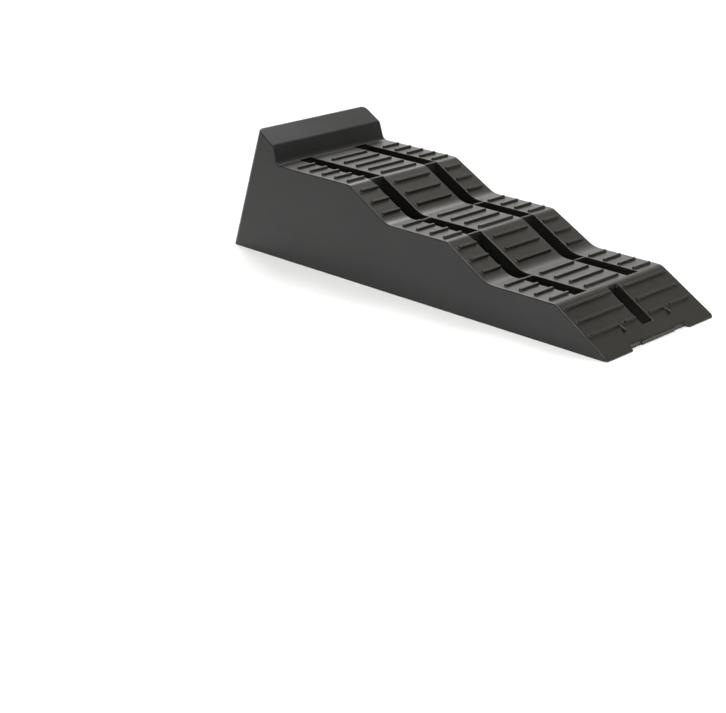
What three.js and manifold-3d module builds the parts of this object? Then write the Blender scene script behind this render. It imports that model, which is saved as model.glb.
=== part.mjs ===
// A three-step drive-on levelling ramp for a caravan or motorhome wheel: a moulded polyethylene shell that is open
// below. X runs across the ramp, Y from the toe up to the high end and Z up, in millimetres.
// The walls, tread plates, webs and ribs are regions of the moulding, one named mesh each.

import * as THREE from "three";
import { mergeVertices } from "three/addons/utils/BufferGeometryUtils.js";
import Module from "manifold-3d";

// Outer shape
const LENGTH = 574;
const WIDTH = 203;
const STOP_HEIGHT = 152.7; // to the rear edge of the stop before it is rounded, which takes 1 mm off
const SIDE_DRAFT = 0.0493; // how far each side wall leans in, per millimetre of height
const REAR_LEAN = 0.25; // how far the rear wall leans towards the toe, per millimetre of height
const REAR_CORNER_RADIUS = 8;
const TOE_CORNER_RADIUS = 4.5;
const TOE_EDGE = 2.2;

// The climb, measured from the toe
const LOW_LEVEL = 45.7;
const MIDDLE_LEVEL = 79.7;
const HIGH_LEVEL = 113.7;
const TOE_RUN = 72;
const LOW_PLATFORM = 94;
const STEP_RUN = 61.5;
const MIDDLE_PLATFORM = 90.5;
const HIGH_PLATFORM = 121.5;
const STOP_FACE_RUN = 6.5;
const STOP_FACE_RISE = 22;
const CREST_RADIUS = 14;
const VALLEY_RADIUS = 30;
const STOP_FOOT_RADIUS = 8;
const STOP_EDGE_RADIUS = 6;
const REAR_EDGE_RADIUS = 2;

// Thicknesses and clearance
const WALL = 3.5;
const PLATE = 4;
const WEB = 3;
const RIB = 2.6;
const GAP = 0.3; // clearance between neighbouring regions
const TOE_TIP = 11; // the toe is full width and solid over this length

// Slots and grip bars
const SLOT_INNER = 38;
const SLOT_OUTER = 58.5;
const SLOT_LOW_GAP = 4; // how far the slots start behind the lowest crest
const SLOT_HIGH_GAP = 3; // how far they end before the stop's foot
const BAR_HEIGHT = 3;
const BAR_TOP_WIDTH = 2.6;
const BAR_FOOT_WIDTH = 4.6;
const BAR_PITCH = 20.4;
const BAR_SINK = 1; // how deep a bar's foot reaches into its plate
const BAR_SIDE_MARGIN = 6.3;
const BAR_SLOT_MARGIN = 7;
const OUTER_BAR_SLOT_MARGIN = 1.7;

// Toe
const TOE_SLOT_HALF = 9.4;
const TOE_SLOT_START = 20.7;
const TOE_SLOT_END = 70.2;
const TOE_BAR_INNER = 12;
const TOE_BAR_GAP = 9; // in the lowest row, to the right of each catch rib
const TOE_CUT_HALF = 54;
const TOE_CUT_DEPTH = 6;
const TOE_CUT_SLANT = 2.5;
const TOE_TONGUE_HALF = 31;
const CATCH_X = 42;
const CATCH_LENGTH = 10;
const CATCH_WIDTH = 2.4;
const CATCH_TOP = 28.6;

// Hand hole and the pocket behind it
const HAND_HOLE_HALF = 57.5;
const HAND_HOLE_HEIGHT = 72;
const HAND_HOLE_RADIUS = 7;
const POCKET_HALF = 59.5;
const POCKET_BACK = 501.5;

const ARC_STEPS = 6;

// Places along the climb
const LOW_CREST = TOE_RUN;
const LOW_VALLEY = LOW_CREST + LOW_PLATFORM;
const MIDDLE_CREST = LOW_VALLEY + STEP_RUN;
const HIGH_VALLEY = MIDDLE_CREST + MIDDLE_PLATFORM;
const HIGH_CREST = HIGH_VALLEY + STEP_RUN;
const STOP_FOOT = HIGH_CREST + HIGH_PLATFORM;
const STOP_REAR = LENGTH - REAR_LEAN * STOP_HEIGHT;

const wasm = await Module();
wasm.setup();

const material = (color, roughness) => new THREE.MeshStandardMaterial({ color, roughness, metalness: 0 });

const FINISHES = {
  wall: () => material(0x2e2f2e, 0.4),
  tread: () => material(0x3a3936, 0.45),
  rib: () => material(0x232424, 0.5),
};

// ---- Solids ----

/** The solid of a closed geometry. */
function solid(geometry) {
  const bare = geometry.clone();
  bare.deleteAttribute("normal");
  bare.deleteAttribute("uv");
  const merged = mergeVertices(bare, 1e-4);
  const vertProperties = merged.attributes.position.array;
  const triVerts = new Uint32Array(merged.index.array);
  return new wasm.Manifold(new wasm.Mesh({ numProp: 3, vertProperties, triVerts }));
}

/** A named mesh of a solid. */
function mesh(name, body, finish) {
  const { vertProperties, triVerts, numProp } = body.getMesh();
  if (numProp !== 3) throw new Error("a solid has only positions");
  const geometry = new THREE.BufferGeometry();
  geometry.setAttribute("position", new THREE.BufferAttribute(new Float32Array(vertProperties), 3));
  geometry.setIndex(new THREE.BufferAttribute(new Uint32Array(triVerts), 1));
  geometry.computeVertexNormals();
  const made = new THREE.Mesh(geometry, FINISHES[finish]());
  made.name = name;
  return made;
}

/** A box between two corners. */
function box([x0, y0, z0], [x1, y1, z1]) {
  const geometry = new THREE.BoxGeometry(x1 - x0, y1 - y0, z1 - z0);
  return solid(geometry.translate((x0 + x1) / 2, (y0 + y1) / 2, (z0 + z1) / 2));
}

/** A slab of the ramp's whole height and width between two places along it. */
const stretch = (from, to) => box([-WIDTH, from, -1], [WIDTH, to, 2 * STOP_HEIGHT]);

/** A slab of the whole height and length between two places across it. */
const lane = (from, to) => box([from, -LENGTH, -1], [to, 2 * LENGTH, 2 * STOP_HEIGHT]);

/** The same slab behind or before a line that leans with the rear wall, at `inset` from its outer face. */
function behindRear(inset) {
  const geometry = new THREE.BoxGeometry(2 * WIDTH, LENGTH, 2 * STOP_HEIGHT);
  geometry.translate(0, LENGTH * 1.5 - inset, 0);
  return solid(leaned(geometry));
}

/** A geometry with every point moved towards the toe in proportion to its height. */
function leaned(geometry) {
  return geometry.applyMatrix4(new THREE.Matrix4().makeShear(0, 0, 0, 0, 0, -REAR_LEAN));
}

// ---- The climb's outline ----

/** Corners of the climb from the toe to the foot of the rear wall, as [y, z, radius]. */
const CLIMB = [
  [0, TOE_EDGE, 0],
  [LOW_CREST, LOW_LEVEL, CREST_RADIUS],
  [LOW_VALLEY, LOW_LEVEL, VALLEY_RADIUS],
  [MIDDLE_CREST, MIDDLE_LEVEL, CREST_RADIUS],
  [HIGH_VALLEY, MIDDLE_LEVEL, VALLEY_RADIUS],
  [HIGH_CREST, HIGH_LEVEL, CREST_RADIUS],
  [STOP_FOOT, HIGH_LEVEL, STOP_FOOT_RADIUS],
  [STOP_FOOT + STOP_FACE_RUN, HIGH_LEVEL + STOP_FACE_RISE, STOP_EDGE_RADIUS],
  [STOP_REAR, STOP_HEIGHT, REAR_EDGE_RADIUS],
  [LENGTH, 0, 0],
];

/** The line through two corners moved down by `depth`, as a point and a direction. */
function sunkLine([y0, z0], [y1, z1], depth) {
  const along = new THREE.Vector2(y1 - y0, z1 - z0).normalize();
  const down = new THREE.Vector2(along.y, -along.x);
  return { point: new THREE.Vector2(y0, z0).addScaledVector(down, depth), along };
}

/** Where two lines cross. */
function crossing(a, b) {
  const gap = b.point.clone().sub(a.point);
  const t = gap.cross(b.along) / a.along.cross(b.along);
  return a.point.clone().addScaledVector(a.along, t);
}

/**
 * The points of the climb sunk by `depth`, with each corner rounded: crests tighten and valleys open as they sink.
 * The last line, down the rear wall, stays where it is.
 */
function climb(depth) {
  const lines = CLIMB.slice(1).map((corner, i) => sunkLine(CLIMB[i], corner, i < CLIMB.length - 2 ? depth : 0));
  const points = [lines[0].point];
  for (let i = 1; i < lines.length; i++) {
    const corner = crossing(lines[i - 1], lines[i]);
    const turn = lines[i - 1].along.cross(lines[i].along);
    const radius = Math.max(CLIMB[i][2] + Math.sign(turn) * depth, 0.5);
    points.push(...rounded(corner, lines[i - 1].along, lines[i].along, radius));
  }
  const last = lines[lines.length - 1];
  points.push(last.point.clone().addScaledVector(last.along, -last.point.y / last.along.y));
  return points;
}

/** The arc of `radius` that joins two directions at a corner. */
function rounded(corner, before, after, radius) {
  const angle = Math.atan2(before.cross(after), before.dot(after));
  const reach = radius * Math.tan(Math.abs(angle) / 2);
  const start = corner.clone().addScaledVector(before, -reach);
  const side = new THREE.Vector2(-before.y, before.x).multiplyScalar(Math.sign(angle) * radius);
  const centre = start.clone().add(side);
  const arc = [];
  for (let i = 0; i <= ARC_STEPS; i++) {
    arc.push(start.clone().rotateAround(centre, (angle * i) / ARC_STEPS));
  }
  return arc;
}

/** The solid of a closed outline in the Y-Z plane, `width` wide about the middle. */
function across(points, width) {
  const geometry = new THREE.ExtrudeGeometry(new THREE.Shape(points), { depth: width, bevelEnabled: false });
  const toSide = new THREE.Matrix4().set(0, 0, 1, -width / 2, 1, 0, 0, 0, 0, 1, 0, 0, 0, 0, 0, 1);
  return solid(geometry.applyMatrix4(toSide));
}

/** Everything under the climb sunk by `depth`, down to the ground. */
function under(depth) {
  const top = climb(depth);
  const ground = [new THREE.Vector2(LENGTH * 2, top[top.length - 1].y), new THREE.Vector2(LENGTH * 2, -50)];
  const toe = top[0].clone().addScaledVector(top[1].clone().sub(top[0]), -1);
  ground.push(new THREE.Vector2(toe.x, -50));
  const below = across([toe, ...top, ...ground], 2 * WIDTH);
  return below.intersect(box([-WIDTH, 0, 0], [WIDTH, LENGTH, 2 * STOP_HEIGHT]));
}

/** The footprint of the ramp drawn in by `inset`, raised with its sides and its rear leaning in. */
function envelope(inset) {
  const half = WIDTH / 2 - inset;
  const front = inset ? -LENGTH : 0;
  const rear = LENGTH - inset;
  const rearRadius = REAR_CORNER_RADIUS - inset;
  const toeRadius = TOE_CORNER_RADIUS;
  const plan = new THREE.Shape();
  plan.moveTo(-half + toeRadius, front);
  plan.lineTo(half - toeRadius, front);
  plan.absarc(half - toeRadius, front + toeRadius, toeRadius, -Math.PI / 2, 0);
  plan.absarc(half - rearRadius, rear - rearRadius, rearRadius, 0, Math.PI / 2);
  plan.absarc(-half + rearRadius, rear - rearRadius, rearRadius, Math.PI / 2, Math.PI);
  plan.absarc(-half + toeRadius, front + toeRadius, toeRadius, Math.PI, 1.5 * Math.PI);
  const depth = STOP_HEIGHT + 10;
  const geometry = new THREE.ExtrudeGeometry(plan, { depth, bevelEnabled: false, curveSegments: ARC_STEPS });
  const point = new THREE.Vector3();
  const places = geometry.attributes.position;
  for (let i = 0; i < places.count; i++) {
    point.fromBufferAttribute(places, i);
    point.x -= Math.sign(point.x) * SIDE_DRAFT * point.z;
    if (point.y > LENGTH / 2) point.y -= REAR_LEAN * point.z;
    places.setXYZ(i, point.x, point.y, point.z);
  }
  return solid(geometry);
}

/** Half the ramp's width at a height. */
const halfWidth = (z) => WIDTH / 2 - SIDE_DRAFT * z;

const OUTSIDE = envelope(0);
const INSIDE = envelope(WALL);
const CLEAR_INSIDE = envelope(WALL + GAP);
const BODY = under(0).intersect(OUTSIDE);
const BELOW_PLATE = under(PLATE);
const PLATE_LAYER = BODY.subtract(BELOW_PLATE);

// ---- Grip bars ----

/** A bar `length` long with sloping sides and ends, its foot sunk into what it stands on. */
function bar(length, height = BAR_HEIGHT) {
  const geometry = new THREE.BoxGeometry(length, BAR_FOOT_WIDTH, height + BAR_SINK);
  const places = geometry.attributes.position;
  const taper = (BAR_FOOT_WIDTH - BAR_TOP_WIDTH) / 2;
  for (let i = 0; i < places.count; i++) {
    if (places.getZ(i) < 0) continue;
    places.setX(i, places.getX(i) - Math.sign(places.getX(i)) * taper);
    places.setY(i, places.getY(i) - Math.sign(places.getY(i)) * taper);
  }
  return geometry.translate(0, 0, (height - BAR_SINK) / 2);
}

/** The straight stretch of the climb after a corner: its start, end and angle. */
function straight(corner) {
  const [y0, z0] = CLIMB[corner];
  const [y1, z1] = CLIMB[corner + 1];
  return { y0, z0, angle: Math.atan2(z1 - z0, y1 - y0), length: Math.hypot(y1 - y0, z1 - z0) };
}

/** The rows of bars on the stretch after a corner: `count` rows, the nearest `first` up from the lower corner. */
function barRows(corner, first, count) {
  const { y0, z0, angle } = straight(corner);
  return Array.from({ length: count }, (_, i) => {
    const along = first + i * BAR_PITCH;
    return { y: y0 + along * Math.cos(angle), z: z0 + along * Math.sin(angle), angle };
  });
}

const TOE_ROWS = barRows(0, 33.4, 3);
const LOW_ROWS = barRows(1, 12.5, 4);
const LOWER_STEP_ROWS = barRows(2, 15.2, 3);
const MIDDLE_ROWS = barRows(3, 9, 4);
const UPPER_STEP_ROWS = barRows(4, 15.2, 3);
const HIGH_ROWS = barRows(5, 9, 5);

/** A bar of a row between two places across the ramp. */
function barAt(row, from, to) {
  const geometry = bar(to - from);
  geometry.rotateX(row.angle);
  return solid(geometry.translate((from + to) / 2, row.y, row.z));
}

/** A plate with its rows of bars, each reaching from `inner` to `outer(row)` on one side, or across the middle. */
function barred(plate, rows, ends) {
  return rows.reduce((made, row) => made.add(barAt(row, ...ends(row))), plate);
}

const middleEnds = () => [-SLOT_INNER + BAR_SLOT_MARGIN, SLOT_INNER - BAR_SLOT_MARGIN];
const outerEnd = (row) => halfWidth(row.z) - BAR_SIDE_MARGIN;
const rightEnds = (row) => [SLOT_OUTER + OUTER_BAR_SLOT_MARGIN, outerEnd(row)];
const leftEnds = (row) => [-outerEnd(row), -SLOT_OUTER - OUTER_BAR_SLOT_MARGIN];

const COLUMNS = [
  { side: "left", lane: lane(-WIDTH, -SLOT_OUTER), ends: leftEnds },
  { side: "centre", lane: lane(-SLOT_INNER, SLOT_INNER), ends: middleEnds },
  { side: "right", lane: lane(SLOT_OUTER, WIDTH), ends: rightEnds },
];

// The cross ribs stand under the crests and, at each valley, behind the first bar of the platform below it.
const RIB_BEHIND_BAR = 4.5;
const RIBS = [
  { name: "low_crest", y: LOW_CREST + 1, slots: false },
  { name: "low_valley", y: LOW_ROWS[3].y + RIB_BEHIND_BAR, slots: true },
  { name: "middle_crest", y: MIDDLE_CREST + 1.5, slots: true },
  { name: "high_valley", y: MIDDLE_ROWS[3].y + RIB_BEHIND_BAR, slots: true },
  { name: "high_crest", y: HIGH_CREST + 1.5, slots: true },
];

// Each tread plate reaches from one of these lines to the next, all on level ground just outside the rounded corners.
const SLOT_LOW_END = LOW_CREST + SLOT_LOW_GAP;
const SLOT_HIGH_END = STOP_FOOT - SLOT_HIGH_GAP;
const SEAM_FROM_CREST = 5;
const SEAMS = [
  SLOT_LOW_END,
  RIBS[1].y,
  MIDDLE_CREST + SEAM_FROM_CREST,
  RIBS[3].y,
  HIGH_CREST + SEAM_FROM_CREST,
  SLOT_HIGH_END,
];
const STAGES = [
  { name: "low_platform", rows: LOW_ROWS },
  { name: "lower_step", rows: LOWER_STEP_ROWS },
  { name: "middle_platform", rows: MIDDLE_ROWS },
  { name: "upper_step", rows: UPPER_STEP_ROWS },
  { name: "high_platform", rows: HIGH_ROWS },
];

/** The plates that carry the tyre, one for each column and stage of the climb. */
function treadPlates() {
  const made = [];
  const layer = PLATE_LAYER.intersect(CLEAR_INSIDE);
  STAGES.forEach((stage, i) => {
    const band = layer.intersect(stretch(SEAMS[i], SEAMS[i + 1]));
    for (const column of COLUMNS) {
      const plate = band.intersect(column.lane);
      const body = barred(plate, stage.rows, column.ends);
      made.push(mesh(`${stage.name}_${column.side}`, body, "tread"));
    }
  });
  return made;
}

// ---- Toe ----

/** A catch rib that rises from nothing to a bar's height towards the toe. */
function toeCatch(x) {
  const { angle } = straight(0);
  const wedge = new THREE.Shape();
  wedge.moveTo(0, -BAR_SINK);
  wedge.lineTo(CATCH_LENGTH, -BAR_SINK);
  wedge.lineTo(CATCH_LENGTH, 0);
  wedge.lineTo(0, BAR_HEIGHT);
  const geometry = new THREE.ExtrudeGeometry(wedge, { depth: CATCH_WIDTH, bevelEnabled: false });
  const toSide = new THREE.Matrix4().set(0, 0, 1, -CATCH_WIDTH / 2, 1, 0, 0, 0, 0, 1, 0, 0, 0, 0, 0, 1);
  geometry.applyMatrix4(toSide).rotateX(angle);
  const low = CATCH_TOP - CATCH_LENGTH * Math.cos(angle);
  return solid(geometry.translate(x, low, TOE_EDGE + low * Math.tan(angle)));
}

/** The shallow notch across the toe's edge, with slanting ends and a tongue standing in it. */
function toeNotch() {
  const plan = new THREE.Shape();
  const inner = TOE_CUT_HALF - TOE_CUT_SLANT;
  const tongue = TOE_CUT_DEPTH - 1.2;
  plan.moveTo(-TOE_CUT_HALF, 0);
  plan.lineTo(-TOE_CUT_HALF - 1, -1);
  plan.lineTo(TOE_CUT_HALF + 1, -1);
  plan.lineTo(TOE_CUT_HALF, 0);
  plan.lineTo(inner, TOE_CUT_DEPTH);
  plan.lineTo(TOE_TONGUE_HALF, TOE_CUT_DEPTH);
  plan.lineTo(TOE_TONGUE_HALF, tongue);
  plan.lineTo(-TOE_TONGUE_HALF, tongue);
  plan.lineTo(-TOE_TONGUE_HALF, TOE_CUT_DEPTH);
  plan.lineTo(-inner, TOE_CUT_DEPTH);
  const geometry = new THREE.ExtrudeGeometry(plan, { depth: LOW_LEVEL, bevelEnabled: false });
  return solid(geometry.translate(0, 0, -1));
}

/** The sloping toe, solid and full width at its edge, slotted down the middle, with two fields of bars. */
function toePlate() {
  const tip = BODY.intersect(stretch(-1, TOE_TIP));
  const rest = PLATE_LAYER.intersect(CLEAR_INSIDE).intersect(stretch(TOE_TIP - 1, SEAMS[0]));
  const slot = box([-TOE_SLOT_HALF, TOE_SLOT_START, -1], [TOE_SLOT_HALF, TOE_SLOT_END, LENGTH]);
  let body = tip.add(rest).subtract(slot).subtract(toeNotch());
  const [lowest, ...upper] = TOE_ROWS;
  body = barred(body, upper, (row) => [TOE_BAR_INNER, outerEnd(row)]);
  body = barred(body, upper, (row) => [-outerEnd(row), -TOE_BAR_INNER]);
  for (const [from, to] of [
    [-outerEnd(lowest), -CATCH_X],
    [-CATCH_X + TOE_BAR_GAP, -TOE_BAR_INNER],
    [TOE_BAR_INNER, CATCH_X],
    [CATCH_X + TOE_BAR_GAP, outerEnd(lowest)],
  ]) {
    body = body.add(barAt(lowest, from, to));
  }
  for (const x of [-CATCH_X, CATCH_X]) body = body.add(toeCatch(x));
  return mesh("toe_plate", body, "tread");
}

// ---- Outer walls ----

/** The walls all round, from the ground up to the climb. */
const WALLS = BODY.subtract(INSIDE);

/** One side wall, from behind the solid toe to the start of the rear corner. */
function sideWall(name, side) {
  const half = side < 0 ? lane(-WIDTH, 0) : lane(0, WIDTH);
  const run = WALLS.intersect(half).intersect(stretch(TOE_TIP + GAP, LENGTH));
  return mesh(name, run.subtract(behindRear(REAR_CORNER_RADIUS + GAP)), "wall");
}

/** The hand hole: open to the ground, with round upper corners. */
function handHole() {
  const outline = new THREE.Shape();
  const top = HAND_HOLE_HEIGHT - HAND_HOLE_RADIUS;
  const corner = HAND_HOLE_HALF - HAND_HOLE_RADIUS;
  outline.moveTo(-HAND_HOLE_HALF, -2);
  outline.lineTo(HAND_HOLE_HALF, -2);
  outline.absarc(corner, top, HAND_HOLE_RADIUS, 0, Math.PI / 2);
  outline.absarc(-corner, top, HAND_HOLE_RADIUS, Math.PI / 2, Math.PI);
  const geometry = new THREE.ExtrudeGeometry(outline, { depth: 100, bevelEnabled: false });
  return solid(geometry.rotateX(Math.PI / 2).translate(0, LENGTH + 10, 0));
}

/** The rear wall with both rounded corners and the hand hole. */
function rearWall() {
  const wall = WALLS.intersect(behindRear(REAR_CORNER_RADIUS));
  return mesh("rear_wall", wall.subtract(handHole()), "wall");
}

/** The wheel stop: the riser at the end of the high platform and the sloping top behind it. */
function wheelStop() {
  const inner = PLATE_LAYER.intersect(CLEAR_INSIDE);
  const cap = inner.intersect(stretch(SLOT_HIGH_END, LENGTH));
  return mesh("wheel_stop", cap.subtract(behindRear(WALL + GAP)), "wall");
}

// ---- Inside ----

const WEB_LANES = [
  ["left_outer", -SLOT_OUTER - WEB, -SLOT_OUTER],
  ["left_inner", -SLOT_INNER, -SLOT_INNER + WEB],
  ["right_inner", SLOT_INNER - WEB, SLOT_INNER],
  ["right_outer", SLOT_OUTER, SLOT_OUTER + WEB],
];
const POCKET_FRONT = POCKET_BACK - WALL;

/** Half-height cut that lets the web at this lane pass the rib at `y`, open upwards or downwards. */
function lap(from, to, yFrom, yTo, upwards) {
  const middle = LOW_LEVEL / 2;
  const [low, high] = upwards ? [middle - GAP, 2 * STOP_HEIGHT] : [-1, middle + GAP];
  return box([from, yFrom, low], [to, yTo, high]);
}

/** The webs that line the slots, under the plates' edges, notched from below where the ribs cross. */
function slotWebs() {
  const from = LOW_CREST + RIB + GAP;
  return WEB_LANES.map(([name, x0, x1]) => {
    let web = BELOW_PLATE.intersect(box([x0, from, 0], [x1, POCKET_FRONT - GAP, STOP_HEIGHT]));
    for (const rib of RIBS.slice(1)) {
      const half = RIB / 2 + GAP;
      web = web.subtract(lap(x0 - 1, x1 + 1, rib.y - half, rib.y + half, false));
    }
    return mesh(`slot_web_${name}`, web, "rib");
  });
}

/** The ribs across the ramp. In the slots they rise flush with the climb and show as narrow bridges. */
function crossRibs() {
  return RIBS.map((rib) => {
    const slab = stretch(rib.y - RIB / 2, rib.y + RIB / 2).intersect(CLEAR_INSIDE);
    let body = BELOW_PLATE.intersect(slab);
    if (rib.slots) {
      body = body.add(BODY.intersect(slab).intersect(lane(-SLOT_OUTER, -SLOT_INNER)));
      body = body.add(BODY.intersect(slab).intersect(lane(SLOT_INNER, SLOT_OUTER)));
      for (const [, x0, x1] of WEB_LANES) {
        body = body.subtract(lap(x0 - GAP, x1 + GAP, rib.y - RIB, rib.y + RIB, true));
      }
    }
    return mesh(`cross_rib_${rib.name}`, body, "rib");
  });
}

/** The webs beside the toe's slot. */
function toeWebs() {
  return [
    ["left", -TOE_SLOT_HALF - WEB, -TOE_SLOT_HALF],
    ["right", TOE_SLOT_HALF, TOE_SLOT_HALF + WEB],
  ].map(([side, x0, x1]) => {
    const from = TOE_SLOT_START + WEB;
    const to = RIBS[0].y - RIB / 2 - GAP;
    return mesh(`toe_web_${side}`, BELOW_PLATE.intersect(box([x0, from, 0], [x1, to, STOP_HEIGHT])), "rib");
  });
}

/** The pocket behind the hand hole: a wall across and two short walls back to the rear wall. */
function handPocket() {
  const room = BELOW_PLATE.intersect(CLEAR_INSIDE).subtract(behindRear(WALL + GAP));
  const back = room.intersect(stretch(POCKET_FRONT, POCKET_BACK));
  const run = room.intersect(stretch(POCKET_BACK + GAP, LENGTH));
  return [
    mesh("hand_pocket_back", back, "wall"),
    mesh("hand_pocket_left", run.intersect(lane(-POCKET_HALF - WEB, -POCKET_HALF)), "wall"),
    mesh("hand_pocket_right", run.intersect(lane(POCKET_HALF, POCKET_HALF + WEB)), "wall"),
  ];
}

// ---- The ramp ----

const ramp = new THREE.Group();
ramp.add(sideWall("side_wall_left", -1), sideWall("side_wall_right", 1), rearWall(), wheelStop());
ramp.add(toePlate(), ...treadPlates());
ramp.add(...slotWebs(), ...crossRibs(), ...toeWebs(), ...handPocket());
ramp.position.y = -LENGTH / 2;

export default ramp;
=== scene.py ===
"""The looks of a drive-on levelling ramp, moulded in charcoal polyethylene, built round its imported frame.

Lengths are in millimetres, with X across the ramp, Y from the toe edge to the high end and Z up from the
ground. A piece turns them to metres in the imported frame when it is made. The studio's lengths are in metres
in that frame.
"""

import logging
import math
from dataclasses import dataclass, field
from enum import Enum

import bmesh
import bpy
import numpy as np
from mathutils import Matrix, Vector


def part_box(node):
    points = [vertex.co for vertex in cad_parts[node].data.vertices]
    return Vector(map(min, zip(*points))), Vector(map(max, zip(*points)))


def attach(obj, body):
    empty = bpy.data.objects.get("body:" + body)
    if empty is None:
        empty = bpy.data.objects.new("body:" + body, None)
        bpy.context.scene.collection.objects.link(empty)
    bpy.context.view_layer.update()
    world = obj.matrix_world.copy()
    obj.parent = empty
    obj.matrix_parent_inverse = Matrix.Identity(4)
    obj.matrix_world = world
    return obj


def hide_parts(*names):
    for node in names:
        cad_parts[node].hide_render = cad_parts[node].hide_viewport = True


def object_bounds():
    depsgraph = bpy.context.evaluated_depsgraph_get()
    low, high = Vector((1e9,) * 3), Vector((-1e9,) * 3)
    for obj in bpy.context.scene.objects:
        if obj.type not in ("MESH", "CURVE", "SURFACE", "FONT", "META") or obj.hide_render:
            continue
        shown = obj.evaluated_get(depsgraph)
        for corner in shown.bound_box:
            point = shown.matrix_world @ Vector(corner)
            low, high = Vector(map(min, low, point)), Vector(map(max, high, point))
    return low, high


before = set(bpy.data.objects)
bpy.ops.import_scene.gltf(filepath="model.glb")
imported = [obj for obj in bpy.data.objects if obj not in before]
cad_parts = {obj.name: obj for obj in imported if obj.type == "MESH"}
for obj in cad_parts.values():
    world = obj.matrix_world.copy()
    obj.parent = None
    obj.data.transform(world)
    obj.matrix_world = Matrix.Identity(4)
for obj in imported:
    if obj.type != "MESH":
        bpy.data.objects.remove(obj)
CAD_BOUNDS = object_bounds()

Array = np.ndarray
MM = 0.001
NEAR_MM = 1e-6  # points nearer than this are one
TOE = np.array([0.0, CAD_BOUNDS[0][1], CAD_BOUNDS[0][2]])
UP = np.array([0.0, 0.0, 1.0])
ACROSS = np.array([1.0, 0.0, 0.0])
LOG = logging.getLogger("levelling_ramp")


class Side(Enum):
    """A side of the ramp, seen by a driver who drives up it."""

    LEFT = -1
    RIGHT = 1


def span(node: str) -> tuple[Array, Array]:
    """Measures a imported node.

    Args:
        node: The node's name.

    Returns:
        Its lowest and highest corners, in millimetres from the toe edge.
    """
    low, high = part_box(node)
    return (np.array(low) - TOE) / MM, (np.array(high) - TOE) / MM


def unit(vectors: Array) -> Array:
    """Vectors scaled to a length of one."""
    return vectors / np.linalg.norm(vectors, axis=-1, keepdims=True)


def warp(count: int) -> Array:
    """Values from 0 to 1, closer together near both ends: half of one minus the cosine of an even sweep."""
    return 0.5 - 0.5 * np.cos(np.linspace(0.0, math.pi, count))


# ---- Lines and round edges ----


@dataclass(frozen=True)
class Line:
    """A line in a plane whose corners are rounded, with the unit normal on its left at each point."""

    points: Array
    normals: Array


def rounded_line(corners: Array, radii: Array, steps: int, closed: bool = False) -> Line:
    """Rounds the corners of a line.

    Each corner becomes an arc that starts before it by the radius times the tangent of half the turn. The
    arc's centre is a radius to the side that the line turns to, and the first spoke turns about it in equal
    steps.

    Args:
        corners: The corners, one row each.
        radii: The radius at each corner.
        steps: The number of steps in each arc.
        closed: Whether the last corner leads back to the first.

    Returns:
        The rounded line.
    """
    corners, radii = np.asarray(corners, float), np.asarray(radii, float)
    before = corners - np.roll(corners, 1, axis=0)
    after = np.roll(corners, -1, axis=0) - corners
    if not closed:
        before[0], after[-1] = after[0], before[-1]
    before, after = unit(before), unit(after)
    turn = np.arctan2(before[:, 0] * after[:, 1] - before[:, 1] * after[:, 0], (before * after).sum(-1))
    left = np.stack([-before[:, 1], before[:, 0]], -1)
    start = corners - before * (radii * np.tan(np.abs(turn) / 2))[:, None]
    centre = start + left * (np.sign(turn) * radii)[:, None]
    angle = turn[:, None] * np.linspace(0.0, 1.0, steps + 1)

    def turned(vectors: Array) -> Array:
        """Each vector turned by all the angles of its corner."""
        cos, sin = np.cos(angle), np.sin(angle)
        x, y = vectors[:, :1], vectors[:, 1:]
        return np.stack([x * cos - y * sin, x * sin + y * cos], -1)

    points = (centre[:, None, :] + turned(start - centre)).reshape(-1, 2)
    normals = turned(left).reshape(-1, 2)
    keep = np.linalg.norm(points - np.roll(points, 1, axis=0), axis=-1) > NEAR_MM
    keep[0] = keep[0] or not closed
    return Line(points[keep], normals[keep])


def round_edge(edge: Array, first: Array, second: Array, radius: Array | float, steps: int) -> Array:
    """Rounds the edge between two faces.

    The arc's centre is the edge point moved in from both faces by the radius, which is against the sum of
    the normals, times the radius over one plus their cosine. The spoke turns evenly from the first normal
    to the second.

    Args:
        edge: Points on the sharp edge, one row each.
        first: The unit normals of the first face.
        second: The unit normals of the second face.
        radius: The radius at each point.
        steps: The number of steps in the arc.

    Returns:
        The arc of each point, as rows by steps + 1 by 3.
    """
    edge, first, second = np.broadcast_arrays(edge, first, second)
    radius = np.broadcast_to(radius, edge.shape[:1])[:, None]
    cosine = (first * second).sum(-1, keepdims=True)
    centre = edge - radius * (first + second) / (1 + cosine)
    angle = np.arccos(np.clip(cosine, -1, 1))[:, None, :]
    share = np.linspace(0.0, 1.0, steps + 1)[None, :, None]
    spoke = np.sin((1 - share) * angle) * first[:, None, :] + np.sin(share * angle) * second[:, None, :]
    return centre[:, None, :] + radius[:, None, :] * spoke / np.sin(angle)


def between(start: Array, end: Array, count: int) -> Array:
    """Evenly spaced points strictly between two rows of points, as rows by count by 3."""
    share = np.linspace(0.0, 1.0, count + 2)[1:-1][None, :, None]
    return start[:, None, :] * (1 - share) + end[:, None, :] * share


# ---- Meshes ----


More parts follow.
